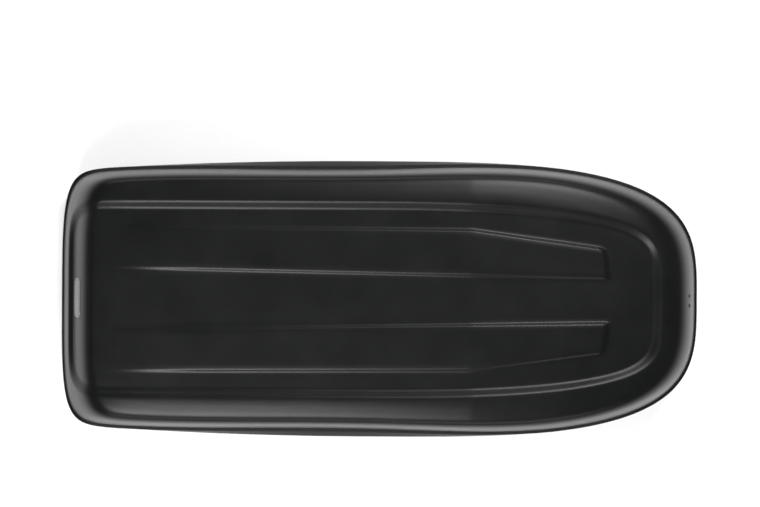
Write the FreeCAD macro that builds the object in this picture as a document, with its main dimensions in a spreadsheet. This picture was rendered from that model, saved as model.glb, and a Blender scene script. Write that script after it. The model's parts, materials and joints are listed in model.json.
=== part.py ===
import FreeCAD, Part
import math
import os
import re
from FreeCAD import Placement, Rotation, Vector

# Roof cargo box, millimetres.  +X is towards the vehicle's nose, +Y to its left, +Z up.
# The origin is under the middle of the box, at the lowest point of the crossbar clamps.

doc = FreeCAD.newDocument("roof_cargo_box")
sheet = doc.addObject("Spreadsheet::Sheet", "sizes")
doc.recompute()

SIZES = [
    ("box_length", 1960, "plan length over the lid's rim"),
    ("half_width", 425, "half of the widest plan width"),
    ("widest_x", -60, "where the plan is widest"),
    ("parting_height", 176, "top of the base flange"),
    ("lid_height", 250, "roof above the parting plane"),
    ("wall", 4, "sheet thickness of lid and base"),
    ("skirt_overlap", 20, "lid skirt below the parting plane"),
    ("recess_depth", 12, "central roof panel below the shoulders"),
    ("recess_half_width", 305, "half width of the central roof panel"),
    ("recess_front_x", 860, "front end of the central roof panel"),
    ("recess_rear_x", -953, "rear end of the central roof panel"),
    ("crease_x", 279, "crease across the roof where the nose starts to fall"),
    ("strake_height", 5, "raised strakes above the central panel"),
    ("floor_height", 56, "underside of the base's floor"),
    ("flange_inset", 8, "base flange inside the rim outline"),
    ("flange_width", 14, "base flange width"),
    ("frame_inset", 7.5, "lid frame inside the rim outline"),
    ("frame_width", 40, "lid frame width"),
    ("frame_thick", 6, "lid frame thickness"),
    ("frame_lift", 2.4, "lid frame above the parting plane"),
    ("trim_height", 1.2, "rubber edge trim on the base flange"),
    ("stiffener_width", 50, "lid cross stiffener along X"),
    ("stiffener_length", 560, "lid cross stiffener along Y"),
    ("stiffener_thick", 14, "lid cross stiffener depth"),
    ("hinge_y", -410, "hinge axis"),
    ("hinge_z", 150, "hinge axis"),
    ("hinge_length", 90, "length over the knuckles"),
    ("hinge_middle", 30, "length of the lid's middle knuckle"),
    ("knuckle_radius", 6, "hinge knuckle"),
    ("hinge_pin_radius", 2.5, "hinge pin"),
    ("pin_clearance", 0.05, "running clearance on a radius"),
    ("leaf_thick", 2, "hinge leaf"),
    ("leaf_height", 30, "base hinge leaf along the wall"),
    ("strut_arm", 300, "hinge axis to each strut pivot"),
    ("strut_base_angle", 10, "base pivot below the hinge axis, degrees"),
    ("strut_lid_angle", 43, "lid pivot above the hinge axis, degrees"),
    ("strut_front_x", 540, "front strut plane"),
    ("strut_rear_x", -740, "rear strut plane"),
    ("strut_radius", 11, "pressure tube"),
    ("strut_bore", 9.5, "pressure tube inside"),
    ("strut_rod_radius", 4, "piston rod"),
    ("strut_tube_end", 240, "tube's far end from the base pivot"),
    ("strut_eye_radius", 9, "eye at each end"),
    ("strut_eye_thick", 6, "eye along the pivot axis"),
    ("strut_eye_slot", 8, "lost motion in the rod's eye"),
    ("stud_radius", 4, "pivot stud"),
    ("lock_x", -60, "lock"),
    ("lock_z", 115, "lock"),
    ("lock_radius", 9, "lock cylinder"),
    ("lock_plug_radius", 17, "lock housing in the wall"),
    ("cam_radius", 11.3, "drive pin from the lock's axis"),
    ("cam_pin_radius", 2.5, "drive pin"),
    ("bar_y", 374, "inboard face of the lock bar"),
    ("bar_thick", 6, "lock bar"),
    ("bar_height", 14, "lock bar"),
    ("bar_bottom", 153, "lock bar's lower edge"),
    ("latch_spacing", 470, "between neighbouring latches"),
    ("latch_travel", 16, "lock bar's stroke"),
    ("tongue_length", 22, "latch tongue along the bar"),
    ("tongue_side", 6, "latch tongue's section"),
    ("keeper_width", 12, "keeper plate along the rim"),
    ("keeper_thick", 2.4, "keeper plate"),
    ("keeper_y", 386.6, "inboard face of the keeper plates"),
    ("keeper_bottom", 154, "lower edge of the keeper plates"),
    ("striker_radius", 2, "striker pin"),
    ("striker_length", 5.8, "striker pin"),
    ("striker_z", 157.5, "striker pins' axis"),
    ("clamp_x", 380, "crossbar clamps either side of the middle"),
    ("clamp_y", 280, "crossbar clamps either side of the middle"),
    ("clamp_reach", 58, "clamp's half length"),
    ("clamp_width", 50, "clamp along the crossbar"),
    ("clamp_body", 12, "clamp housing height under the floor"),
    ("clamp_pivot_radius", 3, "jaw pin"),
    ("pad_thick", 4, "rubber pad on the crossbar"),
    ("knob_radius", 26, "star knob over its lobes"),
    ("knob_height", 24, "star knob"),
    ("clamp_stud_radius", 4, "clamp screw"),
    ("plate_length", 130, "load plate inside the box"),
    ("plate_width", 64, "load plate inside the box"),
    ("plate_thick", 3, "load plate inside the box"),
    ("slot_length", 90, "clamp slot in the floor"),
    ("rail_y", 180, "floor rails"),
    ("rail_length", 1440, "floor rails"),
    ("rail_width", 56, "floor rails"),
    ("rail_height", 10, "floor rails"),
    ("strap_width", 25, "luggage strap"),
    ("strap_thick", 1.6, "luggage strap"),
    ("strap_front_x", 200, "front luggage strap"),
    ("strap_rear_x", -260, "rear luggage strap"),
    ("badge_length", 132, "plain plate on the rear face"),
    ("badge_height", 24, "plain plate on the rear face"),
    ("badge_thick", 2, "plain plate on the rear face"),
    ("screw_spacing", 30, "between the two screws at each end"),
    ("screw_radius", 5, "end screws"),
]
for row, (alias, number, note) in enumerate(SIZES, start=1):
    sheet.set("A%d" % row, alias.replace("_", " "))
    sheet.set("B%d" % row, str(number))
    sheet.set("C%d" % row, note)
    sheet.setAlias("B%d" % row, alias)
doc.recompute()

ALIASES = {alias for alias, number, note in SIZES}
X_AXIS = Vector(1, 0, 0)
Y_AXIS = Vector(0, 1, 0)
Z_AXIS = Vector(0, 0, 1)


def size(alias):
    """A driving dimension, read back from the sheet."""
    return float(sheet.get(alias))


def bind(obj, **formulas):
    """Tie properties to formulas written with the sheet's aliases."""
    for field, formula in formulas.items():
        text = re.sub(r"[a-z][a-z_]+", lambda m: "sizes." + m.group(0)
                      if m.group(0) in ALIASES else m.group(0), str(formula))
        obj.setExpression(field.replace("__", "."), text)
    return obj


SUBPARTS = []


def keep(obj, label):
    """Mark an object as a sub-part of its own."""
    obj.Label = label
    SUBPARTS.append(obj)
    return obj


def place(obj, x=0, y=0, z=0, axis=Z_AXIS, angle=0):
    """Put an object at a point with one turn about an axis."""
    obj.Placement = Placement(Vector(x, y, z), Rotation(axis, angle))
    return obj


def box(name, length, width, height, x, y, z):
    """A block whose low corner and sizes are formulas."""
    obj = doc.addObject("Part::Box", name)
    return bind(obj, Length=length, Width=width, Height=height,
                Placement__Base__x=x, Placement__Base__y=y, Placement__Base__z=z)


def cylinder(name, radius, height, x, y, z, axis=None, angle=0):
    """A round bar whose sizes and base point are formulas."""
    obj = doc.addObject("Part::Cylinder", name)
    if axis is not None:
        obj.Placement = Placement(Vector(), Rotation(axis, angle))
    return bind(obj, Radius=radius, Height=height,
                Placement__Base__x=x, Placement__Base__y=y, Placement__Base__z=z)


def along_x(name, radius, length, x, y, z):
    return cylinder(name, radius, length, x, y, z, Y_AXIS, 90)


def along_y(name, radius, length, x, y, z):
    return cylinder(name, radius, length, x, y, z, X_AXIS, -90)


def fuse(name, pieces):
    obj = doc.addObject("Part::MultiFuse", name)
    obj.Shapes = pieces
    obj.Refine = True
    return obj


def cut(name, base, tool):
    obj = doc.addObject("Part::Cut", name)
    obj.Base = base
    obj.Tool = tool
    return obj


def group(name, pieces):
    """Separate solids that share a sub-part."""
    obj = doc.addObject("Part::Compound", name)
    obj.Links = pieces
    return obj


def feature(name, shape):
    """A solid that only Part's own functions can make."""
    obj = doc.addObject("Part::Feature", name)
    obj.Shape = shape
    obj.Placement = Placement()
    return obj


def origin_plane(body, role):
    for item in body.Origin.OriginFeatures:
        if item.Role == role:
            return item
    raise ValueError(role)


def polygon_pad(name, points, role, depth, symmetric=True):
    """A body with one padded closed outline on an origin plane."""
    body = doc.addObject("PartDesign::Body", name)
    sketch = body.newObject("Sketcher::SketchObject", name + "_outline")
    sketch.AttachmentSupport = (origin_plane(body, role), [""])
    sketch.MapMode = "FlatFace"
    corners = [Vector(u, v, 0) for u, v in points]
    for first, last in zip(corners, corners[1:] + corners[:1]):
        sketch.addGeometry(Part.LineSegment(first, last), False)
    pad = body.newObject("PartDesign::Pad", name + "_pad")
    pad.Profile = sketch
    pad.Midplane = symmetric
    bind(pad, Length=depth)
    body.Tip = pad
    return body, pad


PARTING = size("parting_height")
WALL = size("wall")
HALF_LENGTH = size("box_length") / 2
ROOF = PARTING + size("lid_height")
FLOOR_TOP = size("floor_height") + WALL

# ---------------------------------------------------------------- plan outlines

FRONT_POWER, FRONT_EXPONENT = 3.5, 0.29
REAR_POWER, REAR_EXPONENT = 30, 0.25
REAR_TAPER = 0.08
SIDE_STEPS = 13
END_CROWDING = 3.6
SCALLOP_MIDDLE, SCALLOP_REACH = -146, 720


def half_width_at(x, half, front, rear, scallop=0.0):
    """Half of the plan width at one station along the box."""
    middle = size("widest_x")
    if x >= middle:
        run = min(1.0, (x - middle) / (front - middle))
        width = half * (1 - run ** FRONT_POWER) ** FRONT_EXPONENT
    else:
        run = min(1.0, (middle - x) / (middle - rear))
        width = half * (1 - REAR_TAPER * run * run) * (1 - run ** REAR_POWER) ** REAR_EXPONENT
    reach = (x - SCALLOP_MIDDLE) / SCALLOP_REACH
    if scallop and abs(reach) < 1:
        width -= scallop * math.cos(math.pi * reach / 2) ** 2
    return width


def outline(z, side, rear=None, front=None, scallop=0.0):
    """The plan outline drawn in by an amount at the sides, rear and front."""
    rear = side if rear is None else rear
    front = side if front is None else front
    half = size("half_width") - side
    nose = HALF_LENGTH - front
    tail = -HALF_LENGTH + rear
    middle = size("widest_x")
    crowd = [1 - (i / SIDE_STEPS) ** END_CROWDING for i in range(SIDE_STEPS + 1)]
    stations = [middle + (nose - middle) * share for share in crowd[1:]]
    stations += [middle - (middle - tail) * share for share in reversed(crowd[1:-1])]
    flank = [(x, half_width_at(x, half, nose, tail, scallop)) for x in stations]
    points = [Vector(nose, 0, z)] + [Vector(x, w, z) for x, w in flank]
    points += [Vector(tail, 0, z)] + [Vector(x, -w, z) for x, w in reversed(flank)]
    curve = Part.BSplineCurve()
    curve.interpolate(Points=points, PeriodicFlag=True)
    return Part.Wire([curve.toShape()])


def prism(low, high, side, rear=None, front=None):
    """An upright solid with the plan outline."""
    face = Part.Face(outline(low, side, rear, front))
    return face.extrude(Vector(0, 0, high - low))


def roof_height(x):
    """Height of the roof's centreline."""
    crease = size("crease_x")
    if x < crease:
        return ROOF - 10 * ((crease - x) / 1140) ** 2
    return ROOF - 0.03 * (x - crease) - 28 * ((x - crease) / 570) ** 2


def roof_slope(x):
    """Fall of the roof per unit length."""
    return (roof_height(x + 1) - roof_height(x - 1)) / 2


def under_roof(drop):
    """Everything below the roof surface, lowered by a drop."""
    end, side, low = 1010, 460, PARTING - 60
    crease = size("crease_x")
    back = [Vector(x, -side, roof_height(x) - drop) for x in (-end, -800, -500, -200, 100, crease)]
    nose = [Vector(x, -side, roof_height(x) - drop) for x in (crease, 420, 560, 700, 850, end)]
    back_curve = Part.BSplineCurve()
    back_curve.interpolate(back)
    nose_curve = Part.BSplineCurve()
    nose_curve.interpolate(nose)
    front_low = Vector(end, -side, low)
    rear_low = Vector(-end, -side, low)
    wire = Part.Wire([back_curve.toShape(), nose_curve.toShape(),
                      Part.makeLine(nose[-1], front_low),
                      Part.makeLine(front_low, rear_low),
                      Part.makeLine(rear_low, back[0])])
    return Part.Face(wire).extrude(Vector(0, 2 * side, 0))


# Lid wall: height over the parting plane, then how far the outline is drawn in
# at the sides, the rear and the front.
SKIRT_SECTIONS = [(12, 0, 1, 1, 0), (35, 0, 3, 2, 16), (42, 10, 10, 10, 16)]
CROWN_SECTIONS = [
    (42, 10, 10, 10), (110, 18, 36, 24), (165, 25, 60, 52),
    (200, 38, 76, 88), (226, 62, 96, 130), (244, 92, 122, 175), (262, 130, 155, 225),
]
SCALLOP = 16


def lid_form(inset):
    """The lid as a full solid, drawn in by an inset."""
    low = PARTING - size("skirt_overlap") - (10 if inset else 0)
    skirt = [outline(low, inset, inset, inset)]
    for height, side, rear, front, scallop in SKIRT_SECTIONS:
        z = PARTING + height - (0.75 * inset if scallop else 0)
        skirt.append(outline(z, side + inset, rear + inset, front + inset, scallop))
    crown = []
    for height, side, rear, front in CROWN_SECTIONS:
        z = PARTING + height - 0.75 * inset
        crown.append(outline(z, side + inset, rear + inset, front + inset, SCALLOP))
    lower = Part.makeLoft(skirt, True, True)
    upper = Part.makeLoft(crown, True, False).common(under_roof(inset)).Solids[0]
    return lower.fuse(upper).Solids[0]


def recess_tool(inset, margin):
    """What lies above the central panel, inside its plan."""
    half = size("recess_half_width") + margin
    nose = size("recess_front_x") + margin
    tail = size("recess_rear_x") - margin
    steps = 10
    crowd = [1 - (i / steps) ** 3 for i in range(steps + 1)]
    stations = [nose * share for share in crowd[1:]] + [tail * share for share in reversed(crowd[1:-1])]

    def width(x):
        if x >= 0:
            return half * (1 - (x / nose) ** 4) ** 0.3
        return half * (1 - (x / tail) ** 40) ** 0.25

    low = PARTING - 100
    flank = [(x, width(x)) for x in stations]
    points = [Vector(nose, 0, low)] + [Vector(x, w, low) for x, w in flank]
    points += [Vector(tail, 0, low)] + [Vector(x, -w, low) for x, w in reversed(flank)]
    curve = Part.BSplineCurve()
    curve.interpolate(Points=points, PeriodicFlag=True)
    column = Part.Face(Part.Wire([curve.toShape()])).extrude(Vector(0, 0, 500))
    left = column.cut(lid_form(inset + size("recess_depth")))
    return max(left.Solids, key=lambda solid: solid.BoundBox.ZMax)


def strake(sign):
    """One raised rib of the roof panel, fading out towards the rear."""
    rear_x, front_x = -840, 700
    bury = 1.0
    drop = size("recess_depth")
    height = size("strake_height")
    edges = [(rear_x, 226, 90, 0.2), (crease_x(), 217, 72, height * 0.8), (front_x, 163, 60, height)]
    wires = []
    for x, outer, inner, rise in edges:
        low = roof_height(x) - drop - bury
        high = roof_height(x) - drop + rise
        corners = [Vector(x, sign * outer, low), Vector(x, sign * inner, low),
                   Vector(x, sign * (inner + rise), high), Vector(x, sign * (outer - rise), high)]
        wires.append(Part.makePolygon(corners + corners[:1]))
    return Part.makeLoft(wires, True, True)


def crease_x():
    return size("crease_x")


# Screws at the two ends: sign of X, point on the wall and its lean from upright.
FRONT_SCREW = (1, 953, 119, 27)
REAR_SCREW = (-1, -966, 51, 21)


def end_screws(spec, radius, outside, inside):
    """Two short bars through an end wall of the lid, square to it."""
    sign, x, height, lean = spec
    angle = math.radians(lean)
    normal = Vector(sign * math.cos(angle), 0, math.sin(angle))
    bars = []
    for side in (-1, 1):
        start = Vector(x, side * size("screw_spacing") / 2, PARTING + height) - normal * inside
        bars.append(Part.makeCylinder(radius, inside + outside, start, normal))
    return bars


def make_lid_shell():
    outer = lid_form(0).cut(recess_tool(0, 0))
    for sign in (-1, 1):
        outer = outer.fuse(strake(sign))
    inner = lid_form(WALL).cut(recess_tool(WALL, WALL))
    shell = outer.cut(inner)
    for spec in (FRONT_SCREW, REAR_SCREW):
        for bar in end_screws(spec, size("screw_radius") + 0.5, 12, 14):
            shell = shell.cut(bar)
    return max(shell.Solids, key=lambda solid: solid.Volume)


BASE_SECTIONS = [(0, 66, 90, 90), (4, 58, 78, 78), (12, 51, 69, 69), (44, 38, 48, 48),
                 (116, 16, 16, 16)]


def base_form(inset, lift):
    """The tub as a full solid."""
    wires = []
    for height, side, rear, front in BASE_SECTIONS:
        z = size("floor_height") + height + (lift if height < 40 else 0)
        wires.append(outline(z, side + inset, rear + inset, front + inset))
    return Part.makeLoft(wires, True, True)


def make_base_shell():
    top = PARTING
    low = PARTING - WALL
    flange_in = size("flange_inset") + size("flange_width")
    ring = prism(low, top, size("flange_inset")).cut(prism(low - 1, top + 1, flange_in))
    hollow = base_form(WALL, WALL)
    mouth = prism(low - 0.5, top + 5, 20)
    tub = base_form(0, 0).cut(hollow).cut(mouth).fuse(ring).removeSplitter()
    reach = size("slot_length") / 2 - 5
    for sx in (-1, 1):
        for sy in (-1, 1):
            centre = Vector(sx * size("clamp_x"), sy * size("clamp_y"), size("floor_height") - 5)
            for end in (-reach, reach):
                tub = tub.cut(Part.makeCylinder(5, 20, centre + Vector(end, 0, 0)))
            tub = tub.cut(Part.makeBox(2 * reach, 10, 20, centre + Vector(-reach, -5, 0)))
    plug = Part.makeCylinder(size("lock_plug_radius"), 60,
                             Vector(size("lock_x"), 370, size("lock_z")), Y_AXIS)
    tub = tub.cut(plug)
    return max(tub.Solids, key=lambda solid: solid.Volume)


def make_shells():
    keep(feature("LidShell", make_lid_shell()), "lid_shell")
    keep(feature("BaseShell", make_base_shell()), "base_shell")
    low = PARTING + size("frame_lift")
    frame_in = size("frame_inset") + size("frame_width")
    frame = prism(low, low + size("frame_thick"), size("frame_inset"))
    frame = frame.cut(prism(low - 1, low + size("frame_thick") + 1, frame_in))
    keep(feature("LidFrame", frame), "lid_frame")
    trim = prism(PARTING, PARTING + size("trim_height"), size("flange_inset") + 1)
    trim = trim.cut(prism(PARTING - 1, PARTING + 3, size("flange_inset") + 8))
    keep(feature("EdgeTrim", trim), "base_edge_trim")


def make_end_screws():
    bars = [bar for spec in (FRONT_SCREW, REAR_SCREW)
            for bar in end_screws(spec, size("screw_radius"), -2, 8)]
    keep(feature("EndScrews", Part.makeCompound(bars)), "end_locator_screws")


def make_badge():
    """A plain plate bonded to the sloping rear face."""
    lean = 23.4
    angle = math.radians(lean)
    up = Vector(math.sin(angle), 0, math.cos(angle))
    low = Vector(-922.8, 0, PARTING + 128) - up * (size("badge_height") / 2)
    plate = doc.addObject("Part::Box", "BadgePlate")
    plate.Placement = Placement(low, Rotation(Y_AXIS, lean))
    bind(plate, Length="badge_thick", Width="badge_length", Height="badge_height",
         Placement__Base__y="-badge_length / 2")
    doc.recompute()
    corners = [i + 1 for i, edge in enumerate(plate.Shape.Edges)
               if abs(edge.Length - size("badge_thick")) < 0.01]
    rounded = doc.addObject("Part::Fillet", "Badge")
    rounded.Base = plate
    rounded.Edges = [(i, 10.0, 10.0) for i in corners]
    keep(rounded, "badge_plate")


def make_stiffeners():
    """Channel bars bonded across the underside of the roof panel."""
    for name, x in (("front", size("strut_front_x")), ("middle", -100), ("rear", size("strut_rear_x"))):
        top = roof_height(x) - size("recess_depth") - WALL - 0.4
        block = doc.addObject("Part::Box", "Stiffener_" + name)
        bind(block, Length="stiffener_width", Width="stiffener_length", Height="stiffener_thick")
        tilt = -math.degrees(math.atan(roof_slope(x)))
        turn = Rotation(Y_AXIS, tilt)
        corner = Vector(-size("stiffener_width") / 2, -size("stiffener_length") / 2,
                        -size("stiffener_thick"))
        block.Placement = Placement(Vector(x, 0, top) + turn.multVec(corner), turn)
        channel = doc.addObject("Part::Box", "Channel_" + name)
        bind(channel, Length="stiffener_width - 16", Width="stiffener_length + 2",
             Height="stiffener_thick - 2")
        inner = Vector(-size("stiffener_width") / 2 + 8, -size("stiffener_length") / 2 - 1,
                       -size("stiffener_thick") + 2)
        channel.Placement = Placement(Vector(x, 0, top) + turn.multVec(inner), turn)
        keep(cut("CrossStiffener_" + name, block, channel), "lid_stiffener_" + name)


HINGES = (("front", 230), ("middle", -60), ("rear", -350))


def make_hinges():
    """Three pinned hinges under the rim on the right-hand side."""
    pins, screws = [], []
    for name, x in HINGES:
        rims = [half_width_at(x + dx, size("half_width"), HALF_LENGTH, -HALF_LENGTH)
                for dx in (-45, -25, 0, 25, 45)]
        # base side: two outer knuckles and a leaf that follows the leaning wall
        share = (size("hinge_z") - 100) / 72.0
        wall_y = -(max(rims) - (38 - 22 * share)) - 0.4
        lean = math.degrees(math.atan(22 / 72.0))
        knuckle = along_x("BaseKnuckle_" + name, "knuckle_radius", "hinge_length",
                          str(x) + " - hinge_length / 2", "hinge_y", "hinge_z")
        web = box("BaseWeb_" + name, "hinge_length", str(abs(size("hinge_y") - wall_y)), "3",
                  str(x) + " - hinge_length / 2", "hinge_y", "hinge_z - 5")
        leaf = doc.addObject("Part::Box", "BaseLeafPlate_" + name)
        bind(leaf, Length="hinge_length", Width="leaf_thick", Height="leaf_height")
        turn = Rotation(X_AXIS, lean)
        top = Vector(x - size("hinge_length") / 2, wall_y, size("hinge_z") - 2)
        leaf.Placement = Placement(top + turn.multVec(Vector(0, -size("leaf_thick"),
                                                             -size("leaf_height"))), turn)
        gap = box("BaseGap_" + name, "hinge_middle + 1", "60", "60",
                  str(x) + " - hinge_middle / 2 - 0.5", "hinge_y - 6.5", "hinge_z - 6.5")
        gap.setExpression("Width", "19")
        gap.setExpression("Height", "13")
        bore = along_x("BaseBore_" + name, "hinge_pin_radius", "hinge_length + 2",
                       str(x) + " - hinge_length / 2 - 1", "hinge_y", "hinge_z")
        solid = fuse("BaseLeafBlank_" + name, [knuckle, web, leaf])
        keep(cut("BaseLeafCut_" + name, solid, fuse("BaseLeafTools_" + name, [gap, bore])),
             "hinge_base_leaf_" + name)
        pins.append(along_x("HingePin_" + name, "hinge_pin_radius", "hinge_length",
                            str(x) + " - hinge_length / 2", "hinge_y", "hinge_z"))
        for dx in (-32, 32):
            head = doc.addObject("Part::Cylinder", "HingeScrew_%s_%d" % (name, dx > 0))
            bind(head, Radius="4", Height="2")
            spot = top + turn.multVec(Vector(size("hinge_length") / 2 + dx, -size("leaf_thick"), -20))
            head.Placement = Placement(spot, turn.multiply(Rotation(X_AXIS, 90)))
            screws.append(head)
        # lid side: one middle knuckle and a leaf against the skirt's inner face
        face = -(min(rims[1:4]) - WALL) + 0.8
        lid_knuckle = along_x("LidKnuckle_" + name, "knuckle_radius", "hinge_middle",
                              str(x) + " - hinge_middle / 2", "hinge_y", "hinge_z")
        reach = abs(size("hinge_y") - face)
        lid_web = box("LidWeb_" + name, "hinge_middle", str(reach), "3",
                      str(x) + " - hinge_middle / 2", "hinge_y - %s" % reach, "hinge_z + 2.5")
        lid_riser = box("LidRiser_" + name, "hinge_middle", "1.4", "10",
                        str(x) + " - hinge_middle / 2", "hinge_y - %s" % reach, "hinge_z + 2.5")
        lid_leaf = box("LidLeafPlate_" + name, "hinge_middle + 20", "1.4", "18",
                       str(x) + " - hinge_middle / 2 - 10", "hinge_y - %s" % reach, "hinge_z + 6.5")
        lid_bore = along_x("LidBore_" + name, "hinge_pin_radius + pin_clearance",
                           "hinge_middle + 2", str(x) + " - hinge_middle / 2 - 1",
                           "hinge_y", "hinge_z")
        lid_side = fuse("LidLeafBlank_" + name, [lid_knuckle, lid_web, lid_riser, lid_leaf])
        keep(cut("LidLeaf_" + name, lid_side, lid_bore), "hinge_lid_leaf_" + name)
    keep(group("HingePins", pins), "hinge_pins")
    keep(group("HingeScrews", screws), "hinge_screws")


def strut_point(angle):
    """A point on the strut circle around the hinge axis."""
    turn = math.radians(angle)
    return Vector(0, size("hinge_y") + size("strut_arm") * math.cos(turn),
                  size("hinge_z") + size("strut_arm") * math.sin(turn))


BASE_PIVOT = strut_point(-size("strut_base_angle"))
LID_PIVOT = strut_point(size("strut_lid_angle"))
STRUT_LENGTH = (LID_PIVOT - BASE_PIVOT).Length
STRUT_LEAN = (size("strut_lid_angle") - size("strut_base_angle")) / 2


def set_on_strut(obj, x):
    """Stand a piece that was built along Z onto the strut's line."""
    obj.Placement = Placement(Vector(x, BASE_PIVOT.y, BASE_PIVOT.z), Rotation(X_AXIS, STRUT_LEAN))


def make_strut(name, x):
    # pressure tube with its base eye
    tube = cylinder("TubeOuter_" + name, "strut_radius", "strut_tube_end - 24", "0", "0", "24")
    neck = cylinder("TubeNeck_" + name, "3.5", "20", "0", "0", "6")
    eye = along_x("TubeEye_" + name, "strut_eye_radius", "strut_eye_thick",
                  "-strut_eye_thick / 2", "0", "0")
    bore = cylinder("TubeBore_" + name, "strut_bore", "strut_tube_end - 40", "0", "0", "30")
    guide = cylinder("TubeGuide_" + name, "strut_rod_radius + pin_clearance", "30",
                     "0", "0", "strut_tube_end - 20")
    hole = along_x("TubeHole_" + name, "stud_radius + pin_clearance", "20", "-10", "0", "0")
    blank = fuse("TubeBlank_" + name, [tube, neck, eye])
    body = cut("StrutTube_" + name, blank, fuse("TubeTools_" + name, [bore, guide, hole]))
    set_on_strut(body, x)
    keep(body, "strut_tube_" + name)
    # piston rod with a slotted eye
    end = STRUT_LENGTH
    rod = cylinder("Rod_" + name, "strut_rod_radius", str(end - 7 - 34), "0", "0", "34")
    piston = cylinder("Piston_" + name, "strut_bore - 0.08", "10", "0", "0", "32")
    eye_low = along_x("RodEyeLow_" + name, "strut_eye_radius", "strut_eye_thick",
                      "-strut_eye_thick / 2", "0", str(end))
    eye_high = along_x("RodEyeHigh_" + name, "strut_eye_radius", "strut_eye_thick",
                       "-strut_eye_thick / 2", "0", "%s + strut_eye_slot" % end)
    eye_mid = box("RodEyeMid_" + name, "strut_eye_thick", "2 * strut_eye_radius",
                  "strut_eye_slot", "-strut_eye_thick / 2", "-strut_eye_radius", str(end))
    slot_low = along_x("RodSlotLow_" + name, "stud_radius + 0.2", "20", "-10", "0", str(end))
    slot_high = along_x("RodSlotHigh_" + name, "stud_radius + 0.2", "20", "-10", "0",
                        "%s + strut_eye_slot" % end)
    slot_mid = box("RodSlotMid_" + name, "20", "2 * stud_radius + 0.4", "strut_eye_slot",
                   "-10", "-stud_radius - 0.2", str(end))
    blank = fuse("RodBlank_" + name, [rod, piston, eye_low, eye_high, eye_mid])
    body = cut("StrutRod_" + name, blank, fuse("RodTools_" + name, [slot_low, slot_high, slot_mid]))
    set_on_strut(body, x)
    keep(body, "strut_rod_" + name)


def pivot_bracket(name, x, pivot, foot_z, hangs):
    """A foot, an upright ear beside the strut and a headed stud."""
    thick = 3
    ear_x = x + 4.5
    low, high = (pivot.z - 8, foot_z) if hangs else (foot_z, pivot.z + 8)
    foot = box("Foot_" + name, "40", "50", str(thick), str(x - 16), str(pivot.y - 25),
               str(foot_z - thick if hangs else foot_z))
    ear = box("Ear_" + name, str(thick), "28", str(high - low), str(ear_x), str(pivot.y - 14), str(low))
    stud = along_x("Stud_" + name, "stud_radius", "12", str(x - 6), str(pivot.y), str(pivot.z))
    head = along_x("StudHead_" + name, "stud_radius + 2.5", "2", str(x - 6), str(pivot.y), str(pivot.z))
    return fuse("Bracket_" + name, [foot, ear, stud, head])


def make_struts():
    for name, x in (("front", size("strut_front_x")), ("rear", size("strut_rear_x"))):
        make_strut(name, x)
        keep(pivot_bracket("base_" + name, x, BASE_PIVOT, FLOOR_TOP, False),
             "strut_base_bracket_" + name)
        panel = min(roof_height(x - 25), roof_height(x + 25)) - size("recess_depth") - WALL
        under = panel - size("stiffener_thick") - 0.9
        keep(pivot_bracket("lid_" + name, x, LID_PIVOT, under, True), "strut_lid_bracket_" + name)


def latch_stations():
    return [size("lock_x") + step * size("latch_spacing") for step in (-1, 0, 1)]


def make_lock_bar():
    """The sliding bar with the tab that the cam drives, and the tongues on its outer face."""
    first = latch_stations()[0] - 60
    pieces = [box("Bar", "2 * latch_spacing + 80", "bar_thick", "bar_height", str(first),
                  "bar_y", "bar_bottom")]
    tongues = [box("Tongue%d" % number, "tongue_length", "tongue_side", "tongue_side",
                   str(x - 4) + " - tongue_length", "bar_y + bar_thick",
                   "bar_bottom + bar_height - tongue_side")
               for number, x in enumerate(latch_stations())]
    keep(group("Tongues", tongues), "latch_tongues")
    axis_z = size("lock_z")
    lowest = axis_z + 3
    pieces.append(box("DriveTab", "24", "bar_thick", str(size("bar_bottom") - lowest + 2),
                      "lock_x - 20", "bar_y", str(lowest)))
    slot = box("DriveSlot", "2 * cam_pin_radius + 1.2", "bar_thick + 4", "11",
               "lock_x - cam_radius * 0.7071 - cam_pin_radius - 0.6", "bar_y - 2",
               str(axis_z + 4.6))
    keep(cut("LockBar", fuse("LockBarBlank", pieces), slot), "lock_bar")


def make_lock():
    plug = along_y("LockPlug", "lock_plug_radius", "17", "lock_x", "389", "lock_z")
    bezel = along_y("LockBezel", "lock_plug_radius + 3", "6", "lock_x", "403", "lock_z")
    bore = along_y("LockBore", "lock_radius + pin_clearance", "40", "lock_x", "380", "lock_z")
    keep(cut("LockHousing", fuse("LockHousingBlank", [plug, bezel]), bore), "lock_housing")
    barrel = along_y("Barrel", "lock_radius", "22", "lock_x", "388", "lock_z")
    arm = doc.addObject("Part::Box", "CamArm")
    bind(arm, Length="9", Width="4", Height="cam_radius + 4")
    turn = Rotation(Y_AXIS, -45)
    arm.Placement = Placement(Vector(size("lock_x"), 384, size("lock_z"))
                              + turn.multVec(Vector(-4.5, 0, 0)), turn)
    hub = along_y("CamHub", "6.5", "5", "lock_x", "384", "lock_z")
    pin = along_y("CamPin", "cam_pin_radius", "12", "lock_x - cam_radius * 0.70710678", "373",
                  "lock_z + cam_radius * 0.70710678")
    keyway = box("Keyway", "2.6", "9", "9", "lock_x - 1.3", "402", "lock_z - 4.5")
    keep(cut("LockCylinder", fuse("LockCylinderBlank", [barrel, arm, hub, pin]), keyway),
         "lock_cylinder")
    blade = box("KeyBlade", "2.2", "12", "8", "lock_x - 1.1", "403", "lock_z - 4")
    bow = along_x("KeyBow", "6.5", "2.2", "lock_x - 1.1", "417.5", "lock_z")
    hole = along_x("KeyHole", "2", "8", "lock_x - 4", "419", "lock_z")
    keep(cut("Key", fuse("KeyBlank", [blade, bow]), hole), "key")


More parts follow.
